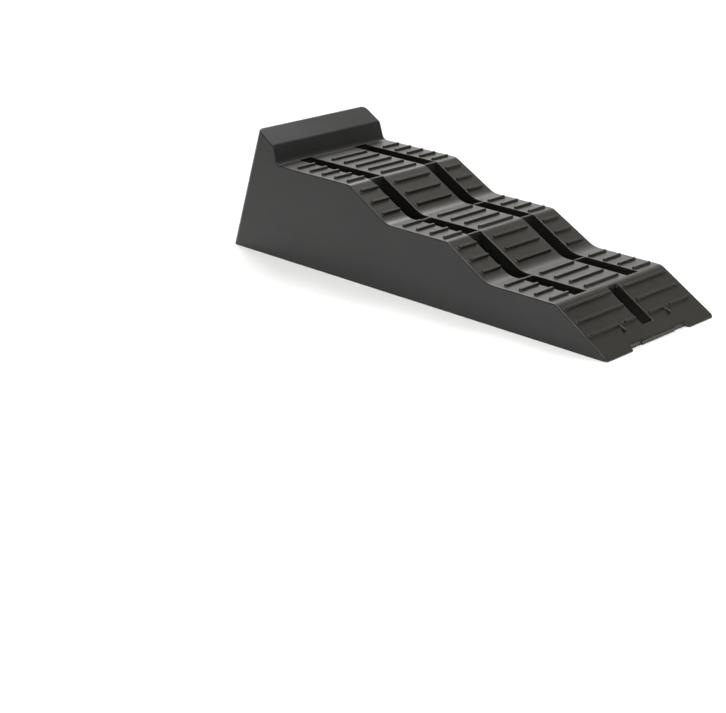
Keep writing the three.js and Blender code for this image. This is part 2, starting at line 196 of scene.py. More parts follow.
@dataclass(frozen=True)
class Shell:
    """A closed surface on a grid of points.

    Each row is a loop that closes on itself. The rows close on each other too when `ring` is set, and
    otherwise each end is capped with one face.
    """

    points: Array
    ring: bool = False

    def faces(self, first: int) -> list[tuple[int, ...]]:
        """Works out the faces.

        Args:
            first: The index of the shell's first point in the whole mesh.

        Returns:
            The faces, as tuples of point indices.
        """
        rows, columns = self.points.shape[:2]
        index = first + np.arange(rows * columns).reshape(rows, columns)
        near = index if self.ring else index[:-1]
        far = np.roll(index, -1, axis=0) if self.ring else index[1:]
        quads = np.stack([near, np.roll(near, -1, axis=1), np.roll(far, -1, axis=1), far], -1).reshape(-1, 4)
        made = [tuple(quad) for quad in quads.tolist()]
        if not self.ring:
            made += [tuple(index[0].tolist()), tuple(index[-1][::-1].tolist())]
        return made


def swept(section: Array, origins: Array, across: Array, normals: Array) -> Array:
    """Carries a section along a path.

    Args:
        section: The section at each row, as rows by points by 2: how far across and how far along the
            normal.
        origins: The path's points.
        across: The direction across the path, at each row or one for all.
        normals: The path's normals, one row each.

    Returns:
        The points, as rows by points by 3: origin plus across times the first number plus normal times the
        second.
    """
    across = np.broadcast_to(across, origins.shape)
    sideways, proud = section[..., :1] * across[:, None, :], section[..., 1:] * normals[:, None, :]
    return origins[:, None, :] + sideways + proud


class Piece:
    """A finished piece: closed shells in one mesh, dressed in one finish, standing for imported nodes."""

    SHARP = math.radians(38)  # the turn past which an edge is shaded as sharp
    MERGE = 2e-6  # in metres, how near two points are to be one
    SLIVER = 1e-6  # in metres, how short an edge is to be dropped

    def __init__(self, name: str, shells: list[Shell], nodes: list[str], finish: "MouldedPlastic") -> None:
        """Builds the piece and joins it to the frame.

        Args:
            name: The piece's name.
            shells: Its shells, in millimetres.
            nodes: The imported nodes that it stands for.
            finish: What it is made of.
        """
        points, faces = [], []
        for shell in shells:
            faces += shell.faces(sum(len(p) for p in points))
            points.append(shell.points.reshape(-1, 3))
        mesh = bpy.data.meshes.new(name)
        mesh.from_pydata((np.concatenate(points) * MM + TOE).tolist(), [], faces)
        self.heal(mesh)
        mesh.polygons.foreach_set("use_smooth", np.ones(len(mesh.polygons), bool))
        mesh.set_sharp_from_angle(angle=self.SHARP)
        self.object = bpy.data.objects.new(name, mesh)
        bpy.context.scene.collection.objects.link(self.object)
        even = self.object.modifiers.new("even_shading", "WEIGHTED_NORMAL")
        even.keep_sharp = True
        finish.dress(self.object)
        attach(self.object, "root")
        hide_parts(*nodes)
        LOG.info("%s: %d faces", name, len(mesh.polygons))

    @staticmethod
    def heal(mesh: bpy.types.Mesh) -> None:
        """Merges doubled points, drops faces without area and turns every face outwards."""
        work = bmesh.new()
        work.from_mesh(mesh)
        bmesh.ops.remove_doubles(work, verts=work.verts, dist=Piece.MERGE)
        bmesh.ops.dissolve_degenerate(work, edges=work.edges, dist=Piece.SLIVER)
        bmesh.ops.recalc_face_normals(work, faces=work.faces)
        work.to_mesh(mesh)
        work.free()


# ---- Finishes ----


def linear(colour: str) -> tuple[float, float, float, float]:
    """Turns an sRGB hex colour, such as "2b2a28", to linear RGBA."""
    parts = [int(colour[i : i + 2], 16) / 255 for i in (0, 2, 4)]
    return (*(p / 12.92 if p <= 0.04045 else ((p + 0.055) / 1.055) ** 2.4 for p in parts), 1.0)


def add_node(
    tree: bpy.types.NodeTree, kind: str, settings: dict | None = None, **links: object
) -> bpy.types.Node:
    """Adds a node.

    Args:
        tree: The tree that takes it.
        kind: The node's type.
        settings: Its properties by name.
        **links: What goes to each input, by the input's name with _ for a space, or by its number after
            "in_". An output socket is linked, and any other value is set.

    Returns:
        The node.
    """
    node = tree.nodes.new(kind)
    for name, value in (settings or {}).items():
        setattr(node, name, value)
    for name, value in links.items():
        socket = node.inputs[int(name[3:])] if name.startswith("in_") else node.inputs[name.replace("_", " ")]
        if isinstance(value, bpy.types.NodeSocket):
            tree.links.new(value, socket)
        else:
            socket.default_value = value
    return node


@dataclass(frozen=True)
class MouldedPlastic:
    """Charcoal polyethylene from a textured steel mould: satin, finely grained and slightly uneven in gloss.

    The grain breaks reflections up, the flow of the melt leaves broad faint changes of tone and gloss, and
    handling leaves a thin paler bloom.
    """

    name: str
    slot: str
    colour: str
    bloom: str
    roughness: float
    grain_mm: float = 0.9  # real spark-eroded grain is about 0.1 mm: drawn coarser, so that it shows
    grain_depth_mm: float = 0.035
    flow_mm: float = 70.0
    flow_range: tuple[float, float] = (0.3, 0.7)  # where nearly all of the flow's noise lies
    bloom_mm: float = 16.0
    bloom_range: tuple[float, float] = (0.12, 0.42)  # the same for the flow's noise times the bloom's
    bloom_most: float = 0.8
    gloss_swing: float = 0.05
    ior: float = 1.52

    def material(self) -> bpy.types.Material:
        """Makes the material, or finds it if it has been made.

        The colour goes from the plastic's to the bloom's with the flow's noise times the bloom's, and the
        roughness goes from low to high with the flow's noise alone.

        Returns:
            The material.
        """
        known = bpy.data.materials.get(self.name)
        if known:
            return known
        material = bpy.data.materials.new(self.name)
        material.use_nodes = True
        tree = material.node_tree
        shader = tree.nodes["Principled BSDF"]
        places = add_node(tree, "ShaderNodeTexCoord").outputs["Object"]

        def noise(size_mm: float, detail: float) -> bpy.types.NodeSocket:
            """The value of a noise whose blotches are about this size."""
            links = {"Vector": places, "Scale": 1 / (size_mm * MM), "Detail": detail}
            return add_node(tree, "ShaderNodeTexNoise", **links).outputs["Fac"]

        flow, bloom = noise(self.flow_mm, 3.0), noise(self.bloom_mm, 5.0)
        patches = add_node(tree, "ShaderNodeMath", {"operation": "MULTIPLY"}, in_0=flow, in_1=bloom)
        low, high = self.bloom_range
        ends = {"From_Min": low, "From_Max": high, "To_Max": self.bloom_most}
        share = add_node(tree, "ShaderNodeMapRange", Value=patches.outputs[0], **ends)
        tones = {"in_6": linear(self.colour), "in_7": linear(self.bloom)}
        colour = add_node(tree, "ShaderNodeMix", {"data_type": "RGBA"}, in_0=share.outputs[0], **tones)
        tree.links.new(colour.outputs[2], shader.inputs["Base Color"])
        low, high = self.flow_range
        ends = {"To_Min": self.roughness - self.gloss_swing, "To_Max": self.roughness + self.gloss_swing}
        gloss = add_node(tree, "ShaderNodeMapRange", Value=flow, From_Min=low, From_Max=high, **ends)
        tree.links.new(gloss.outputs[0], shader.inputs["Roughness"])
        shader.inputs["IOR"].default_value = self.ior
        relief, depth = noise(self.grain_mm, 2.0), self.grain_depth_mm * MM
        grain = add_node(tree, "ShaderNodeBump", Height=relief, Strength=1.0, Distance=depth)
        tree.links.new(grain.outputs[0], shader.inputs["Normal"])
        return material

    def dress(self, piece: bpy.types.Object) -> None:
        """Gives the finish to every material slot of a piece."""
        if not piece.data.materials:
            piece.data.materials.append(None)
        for place in piece.material_slots:
            place.material = self.material()


WALL_FINISH = MouldedPlastic("moulded_polyethylene_wall", "wall_plastic", "101111", "181919", 0.36)
# The treads take a warmer, slightly lighter copy of the same plastic than the walls: painted light, the warm
# light from above put into the colour.
LIT_TREAD_FINISH = MouldedPlastic("moulded_polyethylene_tread_painted_light", "tread_plastic", "1a1710", "25211a", 0.36)
# The webs, ribs and pocket walls take a near black copy of the same plastic: painted shade, so that the slots
# and the hand pocket look dark.
SHADED_CORE_FINISH = MouldedPlastic("moulded_polyethylene_core_painted_shade", "rib_plastic", "0a0a0a", "0e0e0e", 0.6)


# ---- The climb ----


@dataclass
class Climb:
    """The line that a tyre climbs: slopes and platforms with round crests and wide valleys, then the stop."""

    toe_edge: float = 2.2
    low_crest: float = 72.0
    low_valley: float = 166.0
    step_run: float = 61.5
    high_valley: float = 318.0
    stop_foot: float = 501.0
    stop_face_run: float = 6.5
    stop_face_rise: float = 22.0
    stop_height: float = 152.7
    rear_lean: float = 0.25
    bar_height: float = 3.0
    crest_radius: float = 14.0
    valley_radius: float = 30.0
    foot_radius: float = 8.0
    stop_edge_radius: float = 6.0
    arc_steps: int = 14
    end_gap: float = 0.05  # a place nearer than this to a piece's end is left out
    length: float = field(init=False)
    corners: Array = field(init=False)
    line: Line = field(init=False)

    def __post_init__(self) -> None:
        """Lays the line through its corners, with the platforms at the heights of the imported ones."""
        self.length = (CAD_BOUNDS[1][1] - CAD_BOUNDS[0][1]) / MM
        low, middle, high = (
            span(f"{level}_platform_centre")[1][2] - self.bar_height for level in ("low", "middle", "high")
        )
        self.corners = np.array(
            [
                [0.0, self.toe_edge],
                [self.low_crest, low],
                [self.low_valley, low],
                [self.low_valley + self.step_run, middle],
                [self.high_valley, middle],
                [self.high_valley + self.step_run, high],
                [self.stop_foot, high],
                [self.stop_foot + self.stop_face_run, high + self.stop_face_rise],
                [self.length - self.rear_lean * self.stop_height, self.stop_height],
            ]
        )
        crest, valley = self.crest_radius, self.valley_radius
        foot, top = self.foot_radius, self.stop_edge_radius
        radii = np.array([0, crest, valley, crest, valley, crest, foot, top, 0.0])
        self.line = rounded_line(self.corners, radii, self.arc_steps)

    @property
    def high_crest(self) -> float:
        """Where the last slope meets the high platform."""
        return self.corners[5][0]

    @property
    def stop_top(self) -> Array:
        """The two ends of the stop's sloping top."""
        return self.corners[-2:]

    def stations(self, start: float, end: float) -> Array:
        """Chooses the places along Y at which a piece needs a row.

        Args:
            start: The piece's low end.
            end: Its high end.

        Returns:
            Both ends, and every place of the line's arcs between them.
        """
        places = self.line.points[:, 0]
        inner = places[(places > start + self.end_gap) & (places < end - self.end_gap)]
        return np.concatenate([[start], inner, [end]])

    def normals(self, y: Array) -> Array:
        """Works out the line's normals.

        Args:
            y: Places along Y.

        Returns:
            The unit normals there, in three axes: minus the sine and the cosine of the climb's tilt, in Y
            and Z.
        """
        tilt = np.arctan2(-self.line.normals[:, 0], self.line.normals[:, 1])
        here = np.interp(y, self.line.points[:, 0], tilt)
        return np.stack([np.zeros_like(here), -np.sin(here), np.cos(here)], -1)

    def height(self, y: Array, depth: float = 0.0) -> Array:
        """The height at places along Y of the line sunk by a depth along its normals."""
        sunk = self.line.points - depth * self.line.normals
        return np.interp(y, sunk[:, 0], sunk[:, 1])


@dataclass
class Outline:
    """The sizes that the outer walls share with the pieces that meet them."""

    climb: Climb
    draft: float = 0.0493
    corner: float = 8.0
    wall: float = 3.5
    plate: float = 4.0
    edge: float = 1.5
    slot_edge: float = 1.2
    tip: float = 11.0
    rim_steps: int = 6
    half: float = field(init=False)
    slot_inner: float = field(init=False)
    slot_outer: float = field(init=False)
    seams: list[float] = field(init=False)

    def __post_init__(self) -> None:
        """Takes the width, the slots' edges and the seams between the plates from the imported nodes."""
        self.half = (CAD_BOUNDS[1][0] - CAD_BOUNDS[0][0]) / MM / 2
        self.slot_inner = span("slot_web_right_inner")[1][0]
        self.slot_outer = span("slot_web_right_outer")[0][0]
        plates = [span(f"{stage.node}_centre") for stage in STAGES]
        self.seams = [plates[0][0][1], *(plate[1][1] for plate in plates)]

    def half_width(self, z: Array) -> Array:
        """Half the ramp's width at a height."""
        return self.half - self.draft * z

    def side_normal(self, side: Side) -> Array:
        """The outward normal of a side wall."""
        return unit(np.array([side.value, 0.0, self.draft]))

    def side_edge(self, y: Array, side: Side) -> Array:
        """The sharp edge between the climb and a side wall, at places along Y."""
        z = self.climb.height(y)
        return np.stack([side.value * self.half_width(z), y, z], -1)

    def side_rim(self, y: Array, side: Side) -> Array:
        """The round edge between the climb and a side wall, from the climb outwards."""
        normals = self.climb.normals(y)
        return round_edge(self.side_edge(y, side), normals, self.side_normal(side), self.edge, self.rim_steps)


# ---- Grip bars ----


@dataclass(frozen=True)
class GripBar:
    """A raised bar with drafted sides, a soft crown and a small fillet at its foot."""

    height: float = 3.0
    foot_half: float = 2.6
    end_radius: float = 1.6
    least_radius: float = 0.2
    corner_steps: int = 4
    sink: float = 1.0  # how far the foot reaches into the plate
    # How far the outline has drawn in at each height, from the plate up to the crown.
    rise: tuple[tuple[float, float], ...] = (
        *((0.0, 0.0), (0.14, 0.06), (0.34, 0.26), (0.5, 0.66)),
        *((0.86, 2.2), (0.98, 2.6), (1.2, 2.88), (1.5, 3.0)),
    )

    def shell(self, start: float, end: float, base: Array, along: Array, normal: Array) -> Shell:
        """Builds the bar.

        Each row is a rounded rectangle, drawn in as it rises: the centres of its corner arcs plus the arc
        radius times the cosine and the sine of a full turn.

        Args:
            start: Where it starts across the ramp.
            end: Where it ends.
            base: The point of the climb at its middle line.
            along: The climb's direction there.
            normal: The climb's normal there.

        Returns:
            The bar's shell.
        """
        count = self.corner_steps + 1
        turn = np.concatenate([q * math.pi / 2 + np.linspace(0, math.pi / 2, count) for q in range(4)])
        corner_x = np.repeat([1, -1, -1, 1], count)
        corner_y = np.repeat([1, 1, -1, -1], count)
        inset, lift = np.array([(0.0, -self.sink), *self.rise]).T
        radius = np.maximum(self.end_radius - inset, self.least_radius)[:, None]
        half = np.array([(end - start) / 2, self.foot_half])
        x = corner_x * (half[0] - inset[:, None] - radius) + radius * np.cos(turn)
        t = corner_y * (half[1] - inset[:, None] - radius) + radius * np.sin(turn)
        middle = base + ACROSS * (start + end) / 2
        n = np.broadcast_to(lift[:, None], x.shape)
        return Shell(middle + x[..., None] * ACROSS + t[..., None] * along + n[..., None] * normal)


@dataclass(frozen=True)
class Stage:
    """A stretch of the climb with its rows of bars.

    It goes from one corner of the climb to the next, its first row is so far from that corner, and the rest
    follow at the pitch.
    """

    node: str
    corner: int
    first: float
    count: int
    pitch: float = 20.4

    def rows(self, climb: Climb) -> list[tuple[Array, Array, Array]]:
        """Sets out the rows of bars.

        Args:
            climb: The climb that they stand on.

        Returns:
            For each row, the point on the climb at its middle, the climb's direction and its normal.
        """
        start, end = climb.corners[self.corner], climb.corners[self.corner + 1]
        along = np.array([0.0, *unit(end - start)])
        normal = np.cross(ACROSS, along)
        origin = np.array([0.0, *start])
        return [(origin + along * (self.first + i * self.pitch), along, normal) for i in range(self.count)]


STAGES = [
    Stage("low_platform", 1, 12.5, 4),
    Stage("lower_step", 2, 15.2, 3),
    Stage("middle_platform", 3, 9.0, 4),
    Stage("upper_step", 4, 15.2, 3),
    Stage("high_platform", 5, 9.0, 5),
]
TOE_STAGE = Stage("toe_plate", 0, 33.4, 3)


# ---- Tread ----


@dataclass
class Treads:
    """The plates that carry the tyre, in three columns, with their grip bars."""

    climb: Climb
    outline: Outline
    bar: GripBar = GripBar()
    slot_margin: float = 7.0
    outer_slot_margin: float = 1.7
    side_margin: float = 6.3
    edge_steps: int = 5

    def outer_end(self, z: float) -> float:
        """How far out a bar reaches at a height."""
        return float(self.outline.half_width(z)) - self.side_margin

    def slot_lip(self, x: float, away: float, rows: int) -> Array:
        """The round edge of a plate beside a slot, in the plate's section.

        Args:
            x: Where the slot's edge is.
            away: 1 where the slot lies towards +X, and -1 where it lies towards -X.
            rows: How many rows to repeat it for.

        Returns:
            Rows by steps + 1 by 2, from the top of the plate round to its side.
        """
        radius = self.outline.slot_edge
        turn = np.linspace(0, math.pi / 2, self.edge_steps + 1)
        lip = np.stack([x - away * radius * (1 - np.sin(turn)), radius * (np.cos(turn) - 1)], -1)
        return np.broadcast_to(lip, (rows, *lip.shape))

    def centre_plate(self, start: float, end: float) -> Shell:
        """Builds a plate of the middle column: the climb's line between two round lips, and that line sunk.

        Args:
            start: Its low end along Y.
            end: Its high end.

        Returns:
            The plate.
        """
        y = self.climb.stations(start, end)
        x, depth = self.outline.slot_inner, self.outline.plate
        right = self.slot_lip(x, 1, len(y))
        left = self.slot_lip(-x, -1, len(y))[:, ::-1]
        under = np.broadcast_to(np.array([[x, -depth], [-x, -depth]]), (len(y), 2, 2))
        origins = np.stack([np.zeros_like(y), y, self.climb.height(y)], -1)
        return Shell(swept(np.concatenate([left, right, under], 1), origins, ACROSS, self.climb.normals(y)))

    def outer_plate(self, start: float, end: float, side: Side) -> Shell:
        """Builds a plate of an outer column, which meets the side wall where that wall's round edge starts.

        Args:
            start: Its low end along Y.
            end: Its high end.
            side: The side it is on.

        Returns:
            The plate.
        """
        y = self.climb.stations(start, end)
        origins = self.outline.side_rim(y, side)[:, 0].copy()
        reach = origins[:, 0].copy()
        origins[:, 0] = 0
        depth = -self.outline.plate
        lip = self.slot_lip(side.value * self.outline.slot_outer, -side.value, len(y))
        top = np.stack([reach, np.zeros_like(reach)], -1)[:, None]
        slot = np.full_like(reach, side.value * self.outline.slot_outer)
        under = np.stack([np.stack([x, np.full_like(x, depth)], -1) for x in (slot, reach)], 1)
        return Shell(swept(np.concatenate([top, lip, under], 1), origins, ACROSS, self.climb.normals(y)))

    def bars(self, stage: Stage, start: float, end: float | None = None) -> list[Shell]:
        """Builds the bars of a stage.

        Args:
            stage: The stage.
            start: Where they start across the ramp.
            end: Where they end, or None for the side margin at each bar's height.

        Returns:
            The bars, one to a row.
        """
        made = []
        for base, along, normal in stage.rows(self.climb):
            reach = self.outer_end(base[2]) if end is None else end
            made.append(self.bar.shell(start, reach, base, along, normal))
        return made

    def build(self) -> list[Piece]:
        """Builds the plates of every stage with their bars, three to a stage.

        Returns:
            The pieces.
        """
        made = []
        inner = self.outline.slot_inner - self.slot_margin
        outer = self.outline.slot_outer + self.outer_slot_margin
        for stage, start, end in zip(STAGES, self.outline.seams[:-1], self.outline.seams[1:]):
            shells = [self.centre_plate(start, end), *self.bars(stage, -inner, inner)]
            made.append(self.piece(stage, "centre", shells))
            for side in Side:
                bars = [mirrored(bar, side) for bar in self.bars(stage, outer)]
                made.append(self.piece(stage, side.name.lower(), [self.outer_plate(start, end, side), *bars]))
        return made

    def piece(self, stage: Stage, column: str, shells: list[Shell]) -> Piece:
        """The finished plate of a stage and a column."""
        node = f"{stage.node}_{column}"
        return Piece(f"{node}_plate", shells, [node], LIT_TREAD_FINISH)


def mirrored(shell: Shell, side: Side) -> Shell:
    """A shell on the other side of the ramp's middle when that side is the left one."""
    return Shell(shell.points * np.array([side.value, 1.0, 1.0]), shell.ring)


# ---- Toe ----


@dataclass
class Toe:
    """The first slope, down to a thin notched edge, with a slot down its middle and two catch ribs."""

    climb: Climb
    outline: Outline
    treads: Treads
    corner: float = 4.5
    notch_half: float = 54.0
    notch_depth: float = 6.0
    notch_slant: float = 2.5
    notch_radius: float = 1.5
    tongue_half: float = 31.0
    tongue_reach: float = 1.2
    tongue_radius: float = 0.4
    slot_half: float = 9.4
    slot_start: float = 20.7
    slot_end: float = 70.2
    slot_corner: float = 2.0
    corner_steps: int = 8
    quarter_steps: int = 36
    top_rays: int = 10
    under_rays: int = 5
    bar_inner: float = 12.0
    bar_gap: float = 9.0
    catch_x: float = 42.0
    catch_top: float = 28.6
    catch_length: float = 10.0
    catch_half: float = 1.2
    catch_crown: float = 0.6
    catch_flare: float = 0.2
    catch_rows: int = 8
    front_edge: float = 2.4
    front_share: float = 0.7  # the most of the tip's height that its round edge takes
    ground_edge: float = 0.3

    def front_line(self) -> Line:
        """Draws the plan of the toe's edge.

        Returns:
            The line from the right side, round the notch and its tongue, to the left side.
        """
        half, tip = self.outline.half, self.outline.tip
        notch, depth = self.notch_half, self.notch_depth
        right = [
            [half, tip],
            [half, 0],
            [notch, 0],
            [notch - self.notch_slant, depth],
            [self.tongue_half, depth],
            [self.tongue_half, depth - self.tongue_reach],
        ]
        left = [[-x, y] for x, y in reversed(right)]
        radii = [0, self.corner, *[self.notch_radius] * 2, *[self.tongue_radius] * 2]
        return rounded_line(np.array(right + left), np.array(radii + radii[::-1]), self.corner_steps)

    def front(self) -> Shell:
        """Builds the tip: a thin wedge, round where its top meets its edge.

        Each row runs from the line where the rest of the toe begins out to the edge, down it and back
        underneath. The round edge goes from the front's radius to the side walls' with how far its normal
        points sideways.

        Returns:
            The tip.
        """
        line = self.front_line()
        y, half = line.points[:, 1], self.outline.half
        z = self.climb.height(y)
        edge = np.stack([line.points[:, 0] * (1 - self.outline.draft * z / half), y, z], -1)
        side = np.abs(line.normals[:, 0])
        normals = unit(np.stack([line.normals[:, 0], line.normals[:, 1], self.outline.draft * side], -1))
        radius = self.front_edge + (self.outline.edge - self.front_edge) * side
        radius = np.minimum(radius, self.front_share * z)
        rim = round_edge(edge, self.climb.normals(y), normals, radius, self.outline.rim_steps)
        ground = np.stack([line.points[:, 0], y, np.zeros_like(y)], -1)
        foot = round_edge(ground, normals, -UP, self.ground_edge, 2)
        steps = np.linalg.norm(np.diff(line.points, axis=0), axis=-1)
        progress = np.concatenate([[0], np.cumsum(steps)]) / steps.sum()
        reach = rim[0, 0, 0] * (1 - 2 * progress)
        tip = np.full_like(reach, self.outline.tip)
        inner = np.stack([reach, tip, self.climb.height(tip)], -1)
        below = inner * [1, 1, 0]
        rows = [inner[:, None], between(inner, rim[:, 0], 2), rim, foot, below[:, None]]
        return Shell(np.concatenate(rows, 1))

    def slot_line(self) -> Line:
        """The plan of the slot, with its left normals pointing into the slot."""
        x, y0, y1 = self.slot_half, self.slot_start, self.slot_end
        corners = np.array([[x, y0], [x, y1], [-x, y1], [-x, y0]])
        return rounded_line(corners, np.full(4, self.slot_corner), self.corner_steps, closed=True)

    def slope(self) -> Shell:
        """Builds the rest of the toe: a ring from the slot out to the walls, the tip and the first platform.

        Both outlines are walked side by side, a quarter at a time, with their places closer together near
        the corners. A straight line joins each pair, and every point on it takes the climb's height.

        Returns:
            The ring.
        """
        slot = self.slot_line()
        gaps = np.linalg.norm(np.diff(slot.points, axis=0, append=slot.points[:1]), axis=-1)
        lengths = np.concatenate([[0], np.cumsum(gaps)])
        quarters = self.quarter_lengths()
        step = warp(self.quarter_steps)[:-1]
        ends = zip(quarters[:-1], quarters[1:])
        along = np.concatenate([a + (b - a) * step for a, b in ends]) % lengths[-1]

        def walked(rows: Array) -> Array:
            """The rows of the slot's line at the places along it."""
            looped = np.concatenate([rows, rows[:1]])
            return np.stack([np.interp(along, lengths, column) for column in looped.T], -1)

        inner, into, outer = walked(slot.points), unit(walked(slot.normals)), self.slope_outline()
        top_edge = np.stack([inner[:, 0], inner[:, 1], self.climb.height(inner[:, 1])], -1)
        into = np.stack([into[:, 0], into[:, 1], np.zeros(len(into))], -1)
        normals = self.climb.normals(inner[:, 1])
        lip = round_edge(top_edge, normals, into, self.outline.slot_edge, self.treads.edge_steps)
        share = np.linspace(0, 1, self.top_rays + 1)[None, 1:, None]
        plan = lip[:, :1, :2] * (1 - share) + outer[:, None, :] * share
        top = np.concatenate([plan, self.climb.height(plan[..., 1])[..., None]], -1)
        share = np.linspace(1, 0, self.under_rays)[None, :, None]
        plan = inner[:, None, :] * (1 - share) + outer[:, None, :] * share
        below = self.climb.height(plan[..., 1], self.outline.plate)
        under = np.concatenate([plan, below[..., None]], -1)
        return Shell(np.concatenate([lip[:, ::-1], top, under], 1), ring=True)

    def quarter_lengths(self) -> Array:
        """Measures the slot's outline.

        Returns:
            How far along it each quarter starts, and the last one ends: in the middle of each corner's arc.
            The outline itself starts where the first arc does.
        """
        half_arc = self.slot_corner * math.pi / 4
        long_side = self.slot_end - self.slot_start - 2 * self.slot_corner + 2 * half_arc
        short_side = 2 * (self.slot_half - self.slot_corner) + 2 * half_arc
        return half_arc + np.cumsum([0, long_side, short_side, long_side, short_side])

    def slope_outline(self) -> Array:
        """Draws the plan of the ring's outer outline.

        Returns:
            Its points, walked like the slot's: right side, high end, left side, low end.
        """
        start, end = self.outline.tip, self.outline.seams[0]
        share = warp(self.quarter_steps)[:-1]
        y = start + (end - start) * share
        down = end - (y - start)
        side = self.outline.side_rim(y, Side.RIGHT)[:, 0, 0]
        near, far = self.outline.side_rim(np.array([start, end]), Side.RIGHT)[:, 0, 0]
        across, ones = 1 - 2 * share, np.ones_like(share)
        x = [side, far * across, -np.interp(down, y, side), -near * across]
        return np.stack([np.concatenate(x), np.concatenate([y, ones * end, down, ones * start])], -1)

    def catch(self, x: float) -> Shell:
        """Builds a catch rib, which rises out of the slope towards the toe and has a soft crown.

        Args:
            x: Where it is across the ramp.

        Returns:
            The rib.
        """
        (base, along, normal), *_ = TOE_STAGE.rows(self.climb)
        origin = base + along * ((self.catch_top - base[1]) / along[1])
        bar, foot_half = self.treads.bar, self.catch_half + self.catch_flare
        share = np.linspace(0, 1, self.catch_rows)
        rise = (bar.height * share)[:, None]
        crown = np.minimum(self.catch_crown, rise)
        turn = np.linspace(0, math.pi / 2, bar.corner_steps + 1)[None, :]
        reach, lift = crown * (1 - np.cos(turn)) - self.catch_half, rise - crown * (1 - np.sin(turn))
        left = np.stack([reach, lift], -1)
        right = (left * [-1, 1])[:, ::-1]
        foot = np.broadcast_to([[foot_half, -bar.sink], [-foot_half, -bar.sink]], (len(share), 2, 2))
        section = np.concatenate([left, right, foot], 1)
        origins = origin + ACROSS * x - along * self.catch_length * share[:, None]
        return Shell(swept(section, origins, ACROSS, np.broadcast_to(normal, origins.shape)))

    def build(self) -> Piece:
        """Builds the toe with its catches and bars: the lowest row has a gap to the right of each catch.

        Returns:
            The piece.
        """
        bars = self.treads.bars(TOE_STAGE, self.bar_inner)[1:]
        shells = [self.front(), self.slope(), *bars, *(mirrored(bar, Side.LEFT) for bar in bars)]
        lowest, *_ = TOE_STAGE.rows(self.climb)
        inner, catch, gap = self.bar_inner, self.catch_x, self.bar_gap
        outer = self.treads.outer_end(lowest[0][2])
        for start, end in ((-outer, -catch), (gap - catch, -inner), (inner, catch), (catch + gap, outer)):
            shells.append(self.treads.bar.shell(start, end, *lowest))
        shells += [self.catch(side.value * self.catch_x) for side in Side]
        return Piece("toe_plate_slope", shells, ["toe_plate"], LIT_TREAD_FINISH)


# ---- Outer walls ----


